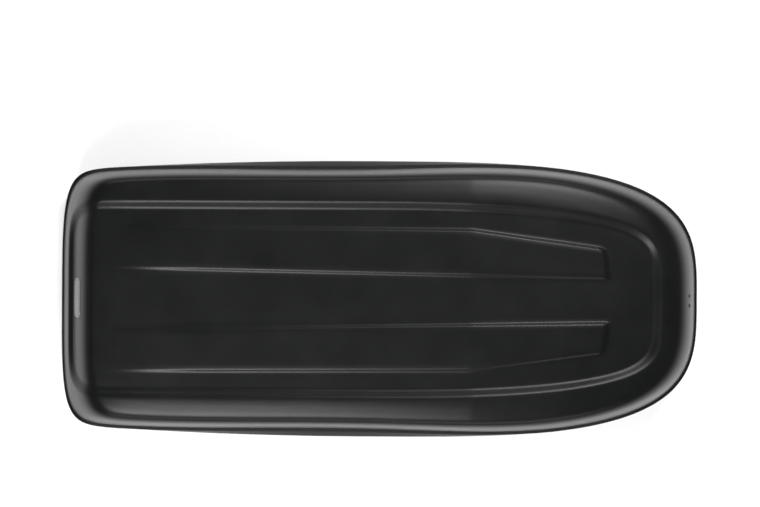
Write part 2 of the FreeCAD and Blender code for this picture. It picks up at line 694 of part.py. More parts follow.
def make_latches():
    """Keeper plates that hang from the lid frame, their striker pins, and the bar's guides."""
    keepers, strikers, guides = [], [], []
    for number, x in enumerate(latch_stations()):
        keepers.append(box("Keeper%d" % number, "keeper_width", "keeper_thick",
                           "parting_height + frame_lift - keeper_bottom", str(x), "keeper_y",
                           "keeper_bottom"))
        strikers.append(along_y("Striker%d" % number, "striker_radius", "striker_length",
                                str(x) + " + keeper_width / 2", "keeper_y - striker_length",
                                "striker_z"))
    for number, x in enumerate((-310, 190)):
        block = box("GuideBlock%d" % number, "20", "23.5", "22", str(x), "bar_y - 4", "bar_bottom - 4")
        passage = box("GuidePassage%d" % number, "30", "bar_thick + 0.6", "bar_height + 0.6",
                      str(x - 5), "bar_y - 0.3", "bar_bottom - 0.3")
        guides.append(cut("Guide%d" % number, block, passage))
    keep(group("Keepers", keepers), "latch_keepers")
    keep(group("Strikers", strikers), "latch_striker_pins")
    keep(group("Guides", guides), "lock_bar_guides")


def make_handle():
    """A grab handle inside the lid's opening edge."""
    low = str(PARTING + size("frame_lift") + size("frame_thick"))
    grip = along_x("Grip", "7", "150", "-295", "386", low + " + 32")
    legs = [box("GripLeg%d" % i, "14", "14", "34", str(x), "379", low)
            for i, x in enumerate((-295, -159))]
    keep(fuse("GrabHandle", [grip] + legs), "lid_grab_handle")


def make_locators():
    """A tongue on the lid frame and a fork in the base at each end."""
    low = PARTING + size("frame_lift")
    for name, x in (("front", 930), ("rear", -944)):
        keep(box("Tongue_" + name, "14", "40", str(low - 156), str(x), "-20", "156"),
             "lid_locator_" + name)
        block = box("ForkBlock_" + name, "16", "64", "22", str(x - 1), "-32", "148")
        gap = box("ForkGap_" + name, "20", "45", "30", str(x - 3), "-22.5", "153")
        keep(cut("Fork_" + name, block, gap), "base_locator_" + name)


# Clamp outline seen from the side: distance along X and height over the clamp's lowest point.
HOOK = [(-62, 56), (58, 56), (58, 3), (55, 0), (36, 0), (34, 2), (34, 8), (50, 10), (50, 44), (-62, 44)]
JAW = [(-60, 54), (-52, 54), (-51, 50), (-51, 16), (-49, 13), (-37, 12), (-37, 7), (-39, 6),
       (-58, 6), (-61, 9), (-61, 50)]
JAW_PIVOT_X, JAW_PIVOT_Z = -56, 50


def make_clamp(label, cx, cy):
    low = size("floor_height") - size("clamp_body")
    housing, pad = polygon_pad("Housing_" + label, HOOK, "XZ_Plane", "clamp_width")
    notch = box("Notch_" + label, "16", "41", "20", "-64", "-20.5", str(low - 2))
    tools = [notch,
             cylinder("ScrewHole_" + label, "clamp_stud_radius + 0.3", "30", "0", "0", str(low - 5)),
             along_y("PinHole_" + label, "clamp_pivot_radius", "60", str(JAW_PIVOT_X), "-30",
                     str(JAW_PIVOT_Z))]
    body = cut("ClampHousing_" + label, housing, fuse("ClampTools_" + label, tools))
    keep(place(body, cx, cy), "clamp_housing_" + label)
    jaw, pad = polygon_pad("JawBlank_" + label, JAW, "XZ_Plane", "clamp_width - 10")
    hole = along_y("JawHole_" + label, "clamp_pivot_radius + pin_clearance", "60",
                   str(JAW_PIVOT_X), "-30", str(JAW_PIVOT_Z))
    keep(place(cut("ClampJaw_" + label, jaw, hole), cx, cy), "clamp_jaw_" + label)
    make_knob(label, cx, cy)


def make_knob(label, cx, cy):
    """A star knob with its screw, as one moulded and turned piece."""
    base = FLOOR_TOP + size("plate_thick") + 0.3
    body = doc.addObject("PartDesign::Body", "Knob_" + label)
    hub_sketch = body.newObject("Sketcher::SketchObject", "KnobHubSketch_" + label)
    hub_sketch.AttachmentSupport = (origin_plane(body, "XY_Plane"), [""])
    hub_sketch.MapMode = "FlatFace"
    hub_sketch.addGeometry(Part.Circle(Vector(0, 0, 0), Z_AXIS, size("knob_radius") - 6), False)
    hub = body.newObject("PartDesign::Pad", "KnobHub_" + label)
    hub.Profile = hub_sketch
    bind(hub, Length="knob_height")
    lobe_sketch = body.newObject("Sketcher::SketchObject", "KnobLobeSketch_" + label)
    lobe_sketch.AttachmentSupport = (origin_plane(body, "XY_Plane"), [""])
    lobe_sketch.MapMode = "FlatFace"
    lobe_sketch.addGeometry(Part.Circle(Vector(size("knob_radius") - 7, 0, 0), Z_AXIS, 7), False)
    lobe = body.newObject("PartDesign::Pad", "KnobLobe_" + label)
    lobe.Profile = lobe_sketch
    bind(lobe, Length="knob_height - 4")
    pattern = body.newObject("PartDesign::PolarPattern", "KnobLobes_" + label)
    pattern.Originals = [lobe]
    pattern.Axis = (hub_sketch, ["N_Axis"])
    pattern.Angle = 360
    pattern.Occurrences = 6
    body.Tip = pattern
    place(body, 0, 0, base)
    low = size("floor_height") - size("clamp_body")
    screw = cylinder("ClampScrew_" + label, "clamp_stud_radius", str(base - low - 2 + 4), "0", "0",
                     str(low + 2))
    keep(place(fuse("KnobAndScrew_" + label, [body, screw]), cx, cy), "clamp_knob_" + label)


def make_clamps():
    pads, plates, pins = [], [], []
    low = size("floor_height") - size("clamp_body")
    for long_word, sx in (("front", 1), ("rear", -1)):
        for side_word, sy in (("left", 1), ("right", -1)):
            label = long_word + "_" + side_word
            cx, cy = sx * size("clamp_x"), sy * size("clamp_y")
            make_clamp(label, cx, cy)
            pads.append(box("Pad_" + label, "88", "clamp_width - 4", "pad_thick", str(cx - 40),
                            "%s - clamp_width / 2 + 2" % cy, str(low) + " - pad_thick"))
            plate = box("Plate_" + label, "plate_length", "plate_width", "plate_thick",
                        "%s - plate_length / 2" % cx, "%s - plate_width / 2" % cy, str(FLOOR_TOP))
            hole = cylinder("PlateHole_" + label, "clamp_stud_radius + 0.3", "20", str(cx), str(cy),
                            "floor_height")
            plates.append(cut("LoadPlate_" + label, plate, hole))
            pins.append(along_y("JawPin_" + label, "clamp_pivot_radius", "clamp_width",
                                str(cx + JAW_PIVOT_X), "%s - clamp_width / 2" % cy,
                                str(JAW_PIVOT_Z)))
    keep(group("ClampPads", pads), "clamp_pads")
    keep(group("LoadPlates", plates), "clamp_load_plates")
    keep(group("JawPins", pins), "clamp_jaw_pins")


def make_floor_fittings():
    top = str(FLOOR_TOP)
    for name, sign in (("left", 1), ("right", -1)):
        rail = box("RailBlock_" + name, "rail_length", "rail_width", "rail_height",
                   "-rail_length / 2 - 40", "%d * rail_y - rail_width / 2" % sign, top)
        hollow = box("RailHollow_" + name, "rail_length + 2", "rail_width - 16", "rail_height - 3",
                     "-rail_length / 2 - 41", "%d * rail_y - rail_width / 2 + 8" % sign, top)
        keep(cut("FloorRail_" + name, rail, hollow), "floor_rail_" + name)
    strap_z = FLOOR_TOP + size("rail_height") + 0.4
    anchors = []
    for name, alias in (("front", "strap_front_x"), ("rear", "strap_rear_x")):
        keep(box("Strap_" + name, "strap_width", "640", "strap_thick", alias + " - strap_width / 2",
                 "-320", str(strap_z)), "luggage_strap_" + name)
        block = box("BuckleBlock_" + name, "strap_width + 12", "52", "11",
                    alias + " - strap_width / 2 - 6", "-26", str(strap_z - 4))
        passage = box("BucklePassage_" + name, "strap_width + 1", "60", "strap_thick + 1",
                      alias + " - strap_width / 2 - 0.5", "-30", str(strap_z - 0.5))
        window = box("BuckleWindow_" + name, "strap_width - 5", "12", "20",
                     alias + " - strap_width / 2 + 2.5", "6", str(strap_z + 2))
        keep(cut("Buckle_" + name, block, fuse("BuckleTools_" + name, [passage, window])),
             "strap_buckle_" + name)
        for end, y in ((0, -330), (1, 306)):
            block = box("AnchorBlock_%s%d" % (name, end), "strap_width + 14", "24", "16",
                        alias + " - strap_width / 2 - 7", str(y), top)
            passage = box("AnchorPassage_%s%d" % (name, end), "strap_width + 1", "30",
                          "strap_thick + 1", alias + " - strap_width / 2 - 0.5", str(y - 3),
                          str(strap_z - 0.5))
            anchors.append(cut("Anchor_%s%d" % (name, end), block, passage))
    keep(group("StrapAnchors", anchors), "strap_anchors")


def write_all():
    doc.recompute()
    for obj in doc.Objects:
        if any(word in obj.State for word in ("Invalid", "Error")):
            raise RuntimeError("failed object: " + obj.Name)
    os.makedirs("parts", exist_ok=True)
    for part in SUBPARTS:
        shape = part.Shape
        if shape.isNull() or not shape.isValid():
            raise RuntimeError("bad shape: " + part.Label)
        shape.exportStep(os.path.join("parts", part.Label + ".step"))
    print(len(SUBPARTS), "sub-parts written")


make_shells()
make_end_screws()
make_badge()
make_stiffeners()
make_hinges()
make_struts()
make_lock()
make_lock_bar()
make_latches()
make_handle()
make_locators()
make_clamps()
make_floor_fittings()
write_all()
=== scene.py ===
import bpy
import bmesh
import json
import math
import numpy as np
from mathutils import Matrix, Vector


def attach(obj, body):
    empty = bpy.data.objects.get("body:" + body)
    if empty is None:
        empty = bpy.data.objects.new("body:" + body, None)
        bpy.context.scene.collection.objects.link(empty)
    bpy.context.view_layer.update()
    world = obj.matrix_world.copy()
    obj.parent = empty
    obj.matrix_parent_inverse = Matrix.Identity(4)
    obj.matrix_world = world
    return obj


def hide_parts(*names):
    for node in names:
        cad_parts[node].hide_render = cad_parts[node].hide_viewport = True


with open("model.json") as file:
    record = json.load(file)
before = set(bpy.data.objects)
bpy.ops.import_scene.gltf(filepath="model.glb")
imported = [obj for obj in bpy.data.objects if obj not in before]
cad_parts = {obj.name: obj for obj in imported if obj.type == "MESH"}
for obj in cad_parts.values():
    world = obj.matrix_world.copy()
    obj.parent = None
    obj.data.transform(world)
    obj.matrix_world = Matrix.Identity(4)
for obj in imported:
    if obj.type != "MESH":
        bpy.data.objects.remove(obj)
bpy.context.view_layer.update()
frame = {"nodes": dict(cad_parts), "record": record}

# ------------------------------------------------------------------ sizes, millimetres
MM = 0.001
PARTING = 176.0
HALF_LENGTH = 980.0
HALF_WIDTH = 425.0
WIDEST_X = -60.0
CREASE_X = 279.0
LID_TOP = 250.0
LEDGE = 42.0
RECESS = 12.0
STRAKE = 6.0
WALL = 4.0

# ------------------------------------------------------------------ materials


def node(tree, kind, **values):
    """Add a shader node and set its plain sockets."""
    made = tree.nodes.new(kind)
    for key, value in values.items():
        if key in made.inputs:
            made.inputs[key].default_value = value
        else:
            setattr(made, key, value)
    return made


def finish(name, color, rough, grain=900.0, bump=0.15, spread=0.12, metal=0.0,
           wear=0.0, sheen=0.0, stretch=(1, 1, 1), coat=0.0, specular=0.5, drift=0.05):
    """A moulded, cast or drawn surface: grain in its bump, drift in its colour and gloss."""
    mat = bpy.data.materials.new(name)
    mat.use_nodes = True
    tree = mat.node_tree
    shader = tree.nodes["Principled BSDF"]
    shader.inputs["Metallic"].default_value = metal
    shader.inputs["Sheen Weight"].default_value = sheen
    shader.inputs["Coat Weight"].default_value = coat
    shader.inputs["Specular IOR Level"].default_value = specular
    link = tree.links.new
    place = node(tree, "ShaderNodeTexCoord")
    mapping = node(tree, "ShaderNodeMapping", Scale=stretch)
    link(place.outputs["Object"], mapping.inputs["Vector"])
    fine = node(tree, "ShaderNodeTexNoise", Scale=grain, Detail=3.0, Roughness=0.6)
    broad = node(tree, "ShaderNodeTexNoise", Scale=7.0, Detail=4.0, Roughness=0.55)
    link(mapping.outputs["Vector"], fine.inputs["Vector"])
    link(mapping.outputs["Vector"], broad.inputs["Vector"])
    tint = node(tree, "ShaderNodeValToRGB")
    dark = [c * (1 - spread) for c in color]
    light = [min(1.0, c * (1 + spread) + 0.002) for c in color]
    tint.color_ramp.elements[0].position = 0.32
    tint.color_ramp.elements[0].color = (*dark, 1)
    tint.color_ramp.elements[1].position = 0.68
    tint.color_ramp.elements[1].color = (*light, 1)
    blend = node(tree, "ShaderNodeMix", data_type="FLOAT")
    blend.inputs[0].default_value = 0.5
    link(fine.outputs["Fac"], blend.inputs[2])
    link(broad.outputs["Fac"], blend.inputs[3])
    link(blend.outputs[0], tint.inputs["Fac"])
    link(tint.outputs["Color"], shader.inputs["Base Color"])
    gloss = node(tree, "ShaderNodeMapRange")
    gloss.inputs["From Min"].default_value = 0.3
    gloss.inputs["From Max"].default_value = 0.7
    gloss.inputs["To Min"].default_value = max(0.02, rough - drift)
    gloss.inputs["To Max"].default_value = min(1.0, rough + drift)
    link(broad.outputs["Fac"], gloss.inputs["Value"])
    link(gloss.outputs["Result"], shader.inputs["Roughness"])
    height = node(tree, "ShaderNodeBump", Strength=bump, Distance=0.0004)
    link(fine.outputs["Fac"], height.inputs["Height"])
    link(height.outputs["Normal"], shader.inputs["Normal"])
    if wear:
        edge = node(tree, "ShaderNodeNewGeometry")
        worn = node(tree, "ShaderNodeMapRange")
        worn.inputs["From Min"].default_value = 0.53
        worn.inputs["From Max"].default_value = 0.62
        worn.inputs["To Min"].default_value = 0.0
        worn.inputs["To Max"].default_value = wear
        link(edge.outputs["Pointiness"], worn.inputs["Value"])
        mix = node(tree, "ShaderNodeMix", data_type="RGBA")
        link(worn.outputs["Result"], mix.inputs[0])
        link(tint.outputs["Color"], mix.inputs[6])
        mix.inputs[7].default_value = (*[min(1.0, c * 2.2 + 0.05) for c in color], 1)
        link(mix.outputs[2], shader.inputs["Base Color"])
    return mat


def webbing(name, color):
    """Woven nylon: ribs across the strap and a fine warp along it."""
    mat = finish(name, color, 0.75, grain=2500.0, bump=0.3, sheen=0.4, spread=0.25)
    tree = mat.node_tree
    link = tree.links.new
    place = node(tree, "ShaderNodeTexCoord")
    ribs = node(tree, "ShaderNodeTexWave", bands_direction="Y", Scale=230.0, Distortion=0.4)
    warp = node(tree, "ShaderNodeTexWave", bands_direction="X", Scale=420.0, Distortion=0.3)
    link(place.outputs["Object"], ribs.inputs["Vector"])
    link(place.outputs["Object"], warp.inputs["Vector"])
    both = node(tree, "ShaderNodeMath", operation="MULTIPLY")
    link(ribs.outputs["Fac"], both.inputs[0])
    link(warp.outputs["Fac"], both.inputs[1])
    relief = node(tree, "ShaderNodeBump", Strength=0.7, Distance=0.0006)
    link(both.outputs[0], relief.inputs["Height"])
    link(relief.outputs["Normal"], tree.nodes["Principled BSDF"].inputs["Normal"])
    return mat


LOOKS = {
    "lid_plastic": finish("lid_black_abs", (0.0028, 0.003, 0.0031), 0.32, grain=1100, bump=0.22,
                          spread=0.14, specular=0.14, drift=0.012),
    "base_plastic": finish("base_black_abs", (0.006, 0.006, 0.0064), 0.42, grain=650, bump=0.5,
                           specular=0.2, drift=0.03),
    "grey_plastic": finish("frame_grey_pp", (0.085, 0.087, 0.09), 0.5, grain=900, bump=0.25),
    "rubber": finish("edge_rubber", (0.012, 0.012, 0.012), 0.8, grain=700, bump=0.3),
    "aluminium": finish("mill_aluminium", (0.62, 0.63, 0.65), 0.34, grain=500, bump=0.2,
                        metal=1.0, spread=0.08, stretch=(0.04, 1, 1)),
    "badge": finish("badge_satin", (0.045, 0.047, 0.05), 0.28, grain=1500, bump=0.08),
    "webbing": webbing("strap_webbing", (0.05, 0.052, 0.056)),
    "moulded_black": finish("moulded_black", (0.024, 0.024, 0.026), 0.46, grain=800, bump=0.35),
    "strut_paint": finish("strut_black_paint", (0.012, 0.012, 0.012), 0.3, grain=300, bump=0.05,
                          coat=0.3),
    "chrome": finish("rod_chrome", (0.78, 0.78, 0.79), 0.12, grain=400, bump=0.03, metal=1.0,
                     spread=0.04),
    "lock_chrome": finish("lock_satin_chrome", (0.32, 0.32, 0.33), 0.34, grain=900, bump=0.1,
                          metal=1.0, spread=0.08),
    "dark_steel": finish("black_oxide_steel", (0.04, 0.04, 0.042), 0.4, grain=700, bump=0.2,
                         metal=0.8),
    "zinc_steel": finish("zinc_plate", (0.55, 0.55, 0.52), 0.36, grain=260, bump=0.12,
                         metal=1.0, spread=0.16, wear=0.3),
}

for entry in frame["record"]["subparts"]:
    shown = frame["nodes"][entry["node"]]
    for holder in shown.material_slots:
        holder.material = LOOKS[entry["material_slot"]]

# ------------------------------------------------------------------ plan shapes


def plan_width(x, half, nose, tail, scallop=0.0):
    """Half width of the plan outline at stations x."""
    ahead = np.clip((x - WIDEST_X) / (nose - WIDEST_X), 0, 1)
    behind = np.clip((WIDEST_X - x) / (WIDEST_X - tail), 0, 1)
    front = half * (1 - ahead ** 3.5) ** 0.29
    rear = half * (1 - 0.08 * behind ** 2) * (1 - behind ** 30) ** 0.25
    width = np.where(x >= WIDEST_X, front, rear)
    reach = np.clip(np.abs((x + 146.0) / 720.0), 0, 1)
    return width - scallop * np.cos(math.pi * reach / 2) ** 2 * (width > 60)


def arc_shares(exponent_in, exponent_out, length, taper, step):
    """Shares of the way to an end that are evenly spaced along the outline."""
    t = 1 - np.linspace(0, 1, 6000)[::-1] ** 6
    w = HALF_WIDTH * (1 - taper * t * t) * (1 - t ** exponent_in) ** exponent_out
    run = np.concatenate([[0], np.cumsum(np.hypot(np.diff(t * length), np.diff(w)))])
    count = int(run[-1] / step)
    return np.interp(np.linspace(0, run[-1], count + 1), run, t)


def build_stations(step):
    """Shares from the nose to the tail, negative behind the widest point."""
    front = arc_shares(3.5, 0.29, HALF_LENGTH - WIDEST_X, 0.0, step)
    rear = arc_shares(30, 0.25, WIDEST_X + HALF_LENGTH, 0.08, step)
    front[-1] = rear[-1] = 1.0
    return np.concatenate([front[::-1], -rear[1:]])


def plan_ring(shares, side, rear, front, scallop=0.0):
    """The outline drawn in at its sides, rear and front, as (x, half width)."""
    nose, tail = HALF_LENGTH - front, -HALF_LENGTH + rear
    x = np.where(shares >= 0, WIDEST_X + (nose - WIDEST_X) * shares,
                 WIDEST_X + (WIDEST_X - tail) * shares)
    w = plan_width(x, HALF_WIDTH - side, nose, tail, scallop)
    w[0] = w[-1] = 0.0
    return x, w


def recess_ring(shares, half, nose, tail):
    """The outline of the sunken roof panel."""
    x = np.where(shares >= 0, WIDEST_X + (nose - WIDEST_X) * shares,
                 WIDEST_X + (WIDEST_X - tail) * shares)
    ahead = np.clip(x / nose, 0, 1)
    behind = np.clip(x / tail, 0, 1)
    w = half * np.where(x >= 0, (1 - ahead ** 2.2) ** 0.18, (1 - behind ** 30) ** 0.15)
    w[0] = w[-1] = 0.0
    return x, w


def roof_height(x):
    """Height of the roof over the parting plane."""
    ahead = np.maximum(x - CREASE_X, 0)
    behind = np.maximum(CREASE_X - x, 0)
    return LID_TOP - 10 * (behind / 1140) ** 2 - 0.045 * ahead - 20 * (ahead / 570) ** 2


# Crown of the lid: drawn in at side, rear, front and the share of the roof's height.
CROWN = np.array([
    (10, 10, 10, 0.000), (13, 20, 16, 0.185), (17, 33, 24, 0.375), (21, 47, 35, 0.565),
    (25.5, 62, 49, 0.735), (30, 75, 66, 0.845), (36, 87, 87, 0.910), (46, 98, 112, 0.952),
    (58, 105, 140, 0.972), (75, 125, 170, 0.985), (92, 150, 200, 0.995), (110, 178, 228, 1.0),
])


def crown_at(level):
    """Smooth look-up in the crown's table at levels from 0 to 1."""
    n = len(CROWN) - 1
    place = np.clip(level, 0, 1) * n
    i = np.minimum(place.astype(int), n - 1)
    f = (place - i)[..., None]
    p0, p1 = CROWN[np.maximum(i - 1, 0)], CROWN[i]
    p2, p3 = CROWN[i + 1], CROWN[np.minimum(i + 2, n)]
    m1, m2 = (p2 - p0) / 2, (p3 - p1) / 2
    return ((2 * f ** 3 - 3 * f ** 2 + 1) * p1 + (f ** 3 - 2 * f ** 2 + f) * m1
            + (-2 * f ** 3 + 3 * f ** 2) * p2 + (f ** 3 - f ** 2) * m2)


def crown_height(x, y):
    """Height of the lid's unsunken surface over a plan point."""
    low, high = np.zeros_like(x), np.ones_like(x)
    for _ in range(26):
        middle = (low + high) / 2
        table = crown_at(middle)
        nose, tail = HALF_LENGTH - table[..., 2], -HALF_LENGTH + table[..., 1]
        w = plan_width(x, HALF_WIDTH - table[..., 0], nose, tail, 16.0)
        inside = (x <= nose) & (x >= tail) & (np.abs(y) <= w)
        low = np.where(inside, middle, low)
        high = np.where(inside, high, middle)
    share = crown_at(low)[..., 3]
    return LEDGE + (roof_height(x) - LEDGE) * share


def crown_normal(x, y):
    """Unit normals of the crown, from slopes over a short reach."""
    d = 1.5
    fall_x = (crown_height(x + d, y) - crown_height(x - d, y)) / (2 * d)
    fall_y = (crown_height(x, y + d) - crown_height(x, y - d)) / (2 * d)
    n = np.stack([-fall_x, -fall_y, np.ones_like(x)], -1)
    return n / np.linalg.norm(n, axis=-1, keepdims=True)


def smooth(t):
    """An eased step from 0 to 1."""
    t = np.clip(t, 0, 1)
    return t * t * (3 - 2 * t)


# ------------------------------------------------------------------ mesh helpers


def around(x, w, z):
    """Both flanks of a ring as one loop of points."""
    left = np.stack([x, w, z], -1)
    right = np.stack([x, -w, z], -1)[1:-1][::-1]
    return np.concatenate([left, right])


def loop_faces(first, second, count):
    """Quads between two closed loops of points."""
    return [(first + i, first + (i + 1) % count, second + (i + 1) % count, second + i)
            for i in range(count)]


def make_object(name, points, faces, body, slot, material=None, smooth_angle=40):
    """A smooth-shaded piece in millimetres that rides on a body, creased past an angle."""
    mesh = bpy.data.meshes.new(name)
    mesh.from_pydata([tuple(p) for p in np.asarray(points) * MM], [], faces)
    mesh.validate()
    obj = bpy.data.objects.new(name, mesh)
    bpy.context.scene.collection.objects.link(obj)
    bm = bmesh.new()
    bm.from_mesh(mesh)
    bmesh.ops.remove_doubles(bm, verts=bm.verts, dist=0.00002)
    bmesh.ops.recalc_face_normals(bm, faces=bm.faces)
    for face in bm.faces:
        face.smooth = True
    limit = math.radians(smooth_angle)
    for edge in bm.edges:
        if len(edge.link_faces) == 2 and edge.calc_face_angle(0) > limit:
            edge.smooth = False
    bm.to_mesh(mesh)
    bm.free()
    mesh.materials.append(material or LOOKS[slot])
    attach(obj, body)
    return obj


def span_patch(points, faces, ring_start, stations, columns, depth_rows):
    """Fill a ring with rows of points from its left flank to its right flank."""
    count = 2 * (stations - 1)
    rows = []
    for k in range(stations):
        left = ring_start + k
        right = ring_start + (count - k) % count
        if left == right:
            rows.append([left] * (columns + 1))
            continue
        first = len(points)
        points.extend(depth_rows[k])
        rows.append([left] + list(range(first, first + columns - 1)) + [right])
    for upper, lower in zip(rows[:-1], rows[1:]):
        for j in range(columns):
            quad = [upper[j], upper[j + 1], lower[j + 1], lower[j]]
            face = [v for i, v in enumerate(quad) if v not in quad[:i]]
            if len(face) > 2:
                faces.append(face)


# ------------------------------------------------------------------ lid skin

SHARES = build_stations(10.0)
STATIONS = len(SHARES)
COUNT = 2 * (STATIONS - 1)

# Skirt from its lower edge up to the ledge: height, then drawn in at side, rear, front, scallop.
SKIRT = [
    (-18, 3.4, 3.4, 3.4, 0), (-20, 1.6, 1.6, 1.6, 0), (-19.4, 0.4, 0.4, 0.4, 0),
    (-18, 0, 0, 0, 0), (-6, 0, 0, 0, 0), (8, 0, 0.4, 0.4, 0), (13, 0, 1, 1, 1.2),
    (18, 0, 1.4, 1.2, 4.4), (24, 0, 2, 1.4, 8.6), (30, 0, 2.6, 1.7, 12.8),
    (33.5, 0, 3, 2, 15.2), (35.3, 0.8, 3.6, 2.7, 16), (36.4, 2.2, 4.6, 4, 16),
    (37.4, 4.5, 6.2, 6, 16), (38.6, 7, 8, 8, 16), (39.8, 8.8, 9.2, 9.2, 16),
    (42, 10, 10, 10, 16),
]
# Half width, front end and rear end of the recess's ramp, at its top and at its foot.
RECESS_TOP = (300.0, 861.0, -953.0)
RECESS_FOOT = (270.0, 832.0, -944.0)


def lid_surface(x, y, depth):
    """Points of the crown, sunk by a depth along its normal."""
    z = crown_height(x, y)
    return np.stack([x, y, z], -1) - crown_normal(x, y) * np.asarray(depth)[..., None]


STRAKE_REAR, STRAKE_FRONT, STRAKE_EDGE = -850.0, 690.0, 13.0


def strake_edges(x):
    """Inner and outer edge of the left strake at stations x."""
    inner = np.interp(x, [STRAKE_REAR, STRAKE_FRONT], [88, 61])
    outer = np.interp(x, [STRAKE_REAR, CREASE_X, STRAKE_FRONT], [226, 219, 163])
    return inner, outer


def strake_rise(x, y):
    """How far the strakes stand above the sunken panel."""
    inner, outer = strake_edges(x)
    reach = np.abs(y)
    side = smooth((reach - inner) / STRAKE_EDGE) * smooth((outer - reach) / STRAKE_EDGE)
    fade = smooth((x - STRAKE_REAR) / 330) * 0.7 + 0.3 * smooth(x / 600)
    slant = STRAKE_FRONT + 12 - (reach - inner) * 0.12
    corner = np.clip((reach - outer + 26) / 26, 0, 1) ** 2 * 12
    tip = smooth((slant - corner - x) / STRAKE_EDGE)
    return STRAKE * fade * side * tip


def build_lid():
    """The lid's skin: skirt, ledge, crown, ramp and sunken panel, given a wall."""
    points, faces = [], []
    starts = []
    for height, side, rear, front, scallop in SKIRT:
        x, w = plan_ring(SHARES, side, rear, front, scallop)
        ring = around(x, w, np.full_like(x, height))
        starts.append(len(points))
        points.extend(ring)
    ledge_x, ledge_w = plan_ring(SHARES, 10, 10, 10, 16)
    top_x, top_w = recess_ring(SHARES, *RECESS_TOP)
    foot_x, foot_w = recess_ring(SHARES, *RECESS_FOOT)
    steps = 20
    for i in range(1, steps + 1):
        t = (i / steps) ** 1.9
        x, w = ledge_x + (top_x - ledge_x) * t, ledge_w + (top_w - ledge_w) * t
        loop = around(x, w, np.zeros_like(x))
        starts.append(len(points))
        points.extend(lid_surface(loop[:, 0], loop[:, 1], np.zeros(len(loop))))
    ramp = 8
    for i in range(1, ramp + 1):
        t = i / ramp
        x, w = top_x + (foot_x - top_x) * t, top_w + (foot_w - top_w) * t
        loop = around(x, w, np.zeros_like(x))
        starts.append(len(points))
        points.extend(lid_surface(loop[:, 0], loop[:, 1], np.full(len(loop), RECESS * smooth(t))))
    for first, second in zip(starts[:-1], starts[1:]):
        faces.extend(loop_faces(first, second, COUNT))
    rows = []
    for k in range(STATIONS):
        ys = panel_row(foot_x[k], foot_w[k])
        xs = np.full_like(ys, foot_x[k])
        sunk = RECESS - strake_rise(xs, ys)
        rows.append(list(lid_surface(xs, ys, sunk)))
    columns = len(rows[0]) + 1
    span_patch(points, faces, starts[-1], STATIONS, columns, rows)
    points = np.array(points)
    points[:, 2] += PARTING
    lid = make_object("lid_skin", points, faces, "lid", "lid_plastic", smooth_angle=50)
    thick = lid.modifiers.new("wall", "SOLIDIFY")
    thick.thickness = WALL * MM * 0.9
    thick.offset = -1
    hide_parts("lid_shell")
    return lid


def panel_keys(x, w):
    """The strake's inner and outer edge, held inside a narrowing row."""
    inner, outer = strake_edges(np.array(float(x)))
    return float(min(inner, 0.34 * w)), float(min(outer, 0.88 * w))


def panel_row(x, w):
    """Y values inside one row of the panel, from the left flank to the right."""
    inner, outer = panel_keys(x, w)
    if w <= 0:
        return np.zeros(62)
    soft = min(STRAKE_EDGE, (outer - inner) / 4)
    left = np.concatenate([
        np.linspace(w, outer, 9)[1:],
        np.linspace(outer, outer - soft, 6)[1:],
        np.linspace(outer - soft, inner + soft, 9)[1:],
        np.linspace(inner + soft, inner, 6)[1:],
    ])
    middle = np.linspace(inner, -inner, 12)[1:-1]
    return np.concatenate([left, middle, -left[::-1]])


# ------------------------------------------------------------------ small pieces

FLOOR_TOP = 60.0


def turned(name, profile, body, slot, centre, reach=None, segments=72, smooth_angle=35):
    """A turned form about a vertical axis; reach(angle) scales the rings marked as lobed."""
    points, faces = [], []
    for radius, z, lobed in profile:
        for i in range(segments):
            angle = 2 * math.pi * i / segments
            r = radius * (reach(angle) if reach and lobed else 1.0)
            points.append((centre[0] + r * math.cos(angle), centre[1] + r * math.sin(angle),
                           centre[2] + z))
    for k in range(len(profile) - 1):
        faces.extend(loop_faces(k * segments, (k + 1) * segments, segments))
    for k in (0, len(profile) - 1):
        faces.append(tuple(k * segments + i for i in range(segments)))
    return make_object(name, points, faces, body, slot, smooth_angle=smooth_angle)


def swept(name, path, half_a, half_b, power, body, slot, across, segments=24):
    """A rounded bar along a path, its first half size pointing along a fixed direction."""
    path = [Vector(p) for p in path]
    across = Vector(across).normalized()
    points, faces = [], []
    for i, spot in enumerate(path):
        ahead = (path[min(i + 1, len(path) - 1)] - path[max(i - 1, 0)]).normalized()
        other = ahead.cross(across).normalized()
        for k in range(segments):
            angle = 2 * math.pi * k / segments
            c, d = math.cos(angle), math.sin(angle)
            u = half_a * math.copysign(abs(c) ** power, c)
            v = half_b * math.copysign(abs(d) ** power, d)
            points.append(tuple(spot + across * u + other * v))
    for i in range(len(path) - 1):
        faces.extend(loop_faces(i * segments, (i + 1) * segments, segments))
    for i in (0, len(path) - 1):
        faces.append(tuple(i * segments + k for k in range(segments)))
    return make_object(name, points, faces, body, slot, smooth_angle=50)


def star_reach(angle):
    """Six round lobes, the widest at full reach."""
    return 0.865 + 0.135 * math.cos(6 * angle)


